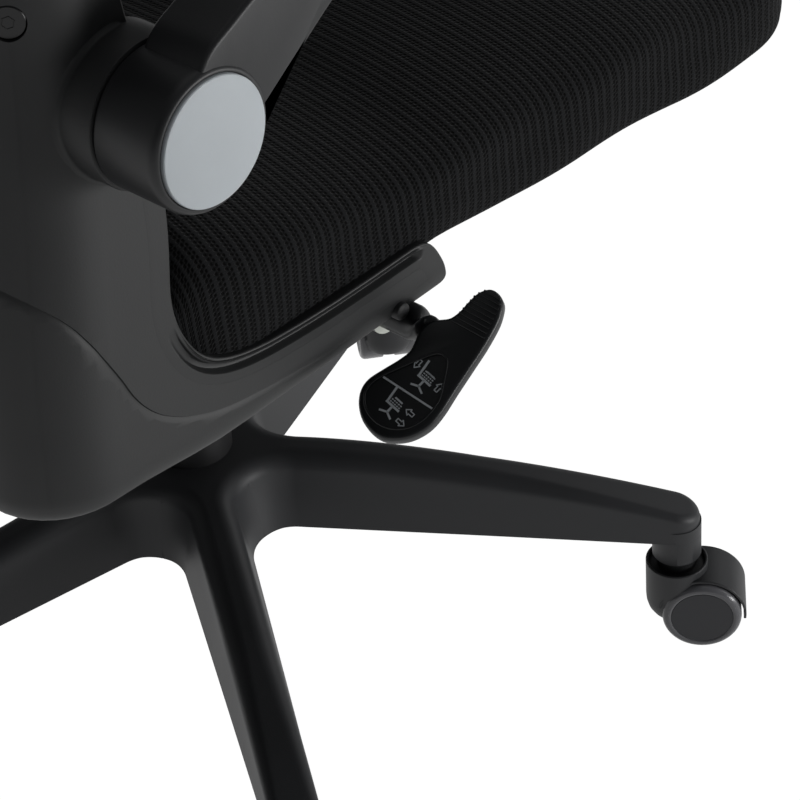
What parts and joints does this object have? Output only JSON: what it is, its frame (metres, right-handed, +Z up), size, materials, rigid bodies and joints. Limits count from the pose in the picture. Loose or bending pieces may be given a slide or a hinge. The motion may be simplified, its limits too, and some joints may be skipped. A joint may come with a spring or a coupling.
{
  "type": "office chair",
  "caption": "Office chair with caster base, gas column, tilt mechanism, padded seat, back shell with side wings, mesh back and flip-up arms.",
  "frame": {"origin": "on the column axis at floor level", "axes": "+Z up; the chair faces -Y; the sitter's right is -X"},
  "size_m": [0.6556, 0.659, 1],
  "materials": {
    "nylon": "fine moulded texture, satin",
    "arm_plastic": "fine moulded texture, satin",
    "black_plastic": "fine moulded texture, matte",
    "cap_grey": "matte light grey",
    "wheel_face": "satin",
    "tyre_grey": "smooth translucent-looking grey polyurethane",
    "black_steel": "powder coated",
    "bright_steel": "polished",
    "zinc_steel": "zinc plated",
    "pad_skin": "soft grained skin",
    "seat_fabric": "black spacer mesh with fine ribs",
    "mesh_fabric": "open stretched mesh"
  },
  "bodies": {
    "base": {"base_star": "nylon", "caster_stems": "zinc_steel", "column_tube": "black_steel", "column_bush": "black_plastic", "thrust_bearing": "zinc_steel"},
    "rod": {"piston_rod": "bright_steel", "rod_clip": "zinc_steel"},
    "lift": {"gas_cylinder": "black_steel", "tilt_bracket": "black_steel", "tilt_pin": "zinc_steel"},
    "valve": {"valve_pin": "bright_steel"},
    "seat": {"tilt_spring": "black_steel", "spring_bolt": "zinc_steel", "seat_plate": "black_steel", "plate_bolts": "zinc_steel", "seat_pan": "black_plastic", "seat_cushion": "seat_fabric", "back_shell": "nylon", "shell_bolts": "zinc_steel", "mesh_frame": "black_plastic", "back_mesh": "mesh_fabric", "lumbar_pad": "black_plastic", "frame_bolts": "black_steel", "lever_guide": "zinc_steel", "arm_pivot_right": "zinc_steel", "arm_pivot_left": "zinc_steel"},
    "knob": {"tension_knob": "black_plastic"},
    "lock": {"lock_bar": "zinc_steel"},
    "lever": {"lever_rod": "zinc_steel", "lever_paddle": "black_plastic"},
    "arm_r": {"arm_right": "arm_plastic", "arm_pad_right": "pad_skin", "arm_cap_right": "cap_grey", "pad_screws_right": "zinc_steel"},
    "arm_l": {"arm_left": "arm_plastic", "arm_pad_left": "pad_skin", "arm_cap_left": "cap_grey", "pad_screws_left": "zinc_steel"},
    "caster_1": {"hood_1": "nylon", "axle_1": "zinc_steel"},
    "wheel_1": {"wheels_1": "wheel_face", "tyres_1": "tyre_grey"},
    "caster_2": {"hood_2": "nylon", "axle_2": "zinc_steel"},
    "wheel_2": {"wheels_2": "wheel_face", "tyres_2": "tyre_grey"},
    "caster_3": {"hood_3": "nylon", "axle_3": "zinc_steel"},
    "wheel_3": {"wheels_3": "wheel_face", "tyres_3": "tyre_grey"},
    "caster_4": {"hood_4": "nylon", "axle_4": "zinc_steel"},
    "wheel_4": {"wheels_4": "wheel_face", "tyres_4": "tyre_grey"},
    "caster_5": {"hood_5": "nylon", "axle_5": "zinc_steel"},
    "wheel_5": {"wheels_5": "wheel_face", "tyres_5": "tyre_grey"}
  },
  "joints": [
    {"name": "swivel", "type": "hinge", "parent": "base", "child": "rod", "pos_m": [0, 0, 0.1], "axis": [0, 0, 1], "continuous": true},
    {"name": "height", "type": "slide", "parent": "rod", "child": "lift", "axis": [0, 0, 1], "range_m": [-0.02, 0.08]},
    {"name": "valve_press", "type": "slide", "parent": "lift", "child": "valve", "axis": [0, 0, 1], "range_m": [-0.0025, 0], "stiffness_N_per_m": 1500, "springref_m": 0.002},
    {"name": "tilt", "type": "hinge", "parent": "lift", "child": "seat", "pos_m": [0, -0.048, 0.37], "axis": [-1, 0, 0], "range_deg": [0, 10], "stiffness_Nm_per_rad": 90, "springref_deg": -20.05, "deforming": ["tilt_spring"]},
    {"name": "tension", "type": "hinge", "parent": "seat", "child": "knob", "pos_m": [0, -0.092, 0.3], "axis": [0, 0, 1], "continuous": true},
    {"name": "lock_slide", "type": "slide", "parent": "seat", "child": "lock", "axis": [-1, 0, 0], "range_m": [0, 0.012]},
    {"name": "lever_lift", "type": "hinge", "parent": "lock", "child": "lever", "pos_m": [-0.2, 0.049, 0.383], "axis": [1, 0, 0], "range_deg": [0, 5.5], "stiffness_Nm_per_rad": 0.6, "springref_deg": -20.05},
    {"name": "arm_right_flip", "type": "hinge", "parent": "seat", "child": "arm_r", "pos_m": [-0.27, 0.2088, 0.5915], "axis": [-1, 0, 0], "range_deg": [0, 90]},
    {"name": "arm_left_flip", "type": "hinge", "parent": "seat", "child": "arm_l", "pos_m": [0.27, 0.2088, 0.5915], "axis": [-1, 0, 0], "range_deg": [0, 90]},
    {"name": "caster_1_swivel", "type": "hinge", "parent": "base", "child": "caster_1", "pos_m": [-0.23626, -0.18326, 0.055], "axis": [0, 0, 1], "continuous": true},
    {"name": "wheel_1_roll", "type": "hinge", "parent": "caster_1", "child": "wheel_1", "pos_m": [-0.24866, -0.19288, 0.025], "axis": [0.6129, -0.7902, 0], "continuous": true},
    {"name": "caster_2_swivel", "type": "hinge", "parent": "base", "child": "caster_2", "pos_m": [-0.2473, 0.16806, 0.055], "axis": [0, 0, 1], "continuous": true},
    {"name": "wheel_2_roll", "type": "hinge", "parent": "caster_2", "child": "wheel_2", "pos_m": [-0.26028, 0.17689, 0.025], "axis": [-0.5621, -0.8271, 0], "continuous": true},
    {"name": "caster_3_swivel", "type": "hinge", "parent": "base", "child": "caster_3", "pos_m": [0.08342, 0.28713, 0.055], "axis": [0, 0, 1], "continuous": true},
    {"name": "wheel_3_roll", "type": "hinge", "parent": "caster_3", "child": "wheel_3", "pos_m": [0.0878, 0.3022, 0.025], "axis": [-0.9603, 0.279, 0], "continuous": true},
    {"name": "caster_4_swivel", "type": "hinge", "parent": "base", "child": "caster_4", "pos_m": [0.29885, 0.00939, 0.055], "axis": [0, 0, 1], "continuous": true},
    {"name": "wheel_4_roll", "type": "hinge", "parent": "caster_4", "child": "wheel_4", "pos_m": [0.31455, 0.00988, 0.025], "axis": [-0.0314, 0.9995, 0], "continuous": true},
    {"name": "caster_5_swivel", "type": "hinge", "parent": "base", "child": "caster_5", "pos_m": [0.10128, -0.28132, 0.055], "axis": [0, 0, 1], "continuous": true},
    {"name": "wheel_5_roll", "type": "hinge", "parent": "caster_5", "child": "wheel_5", "pos_m": [0.11327, -0.29146, 0.025], "axis": [0.6455, 0.7638, 0], "continuous": true}
  ]
}
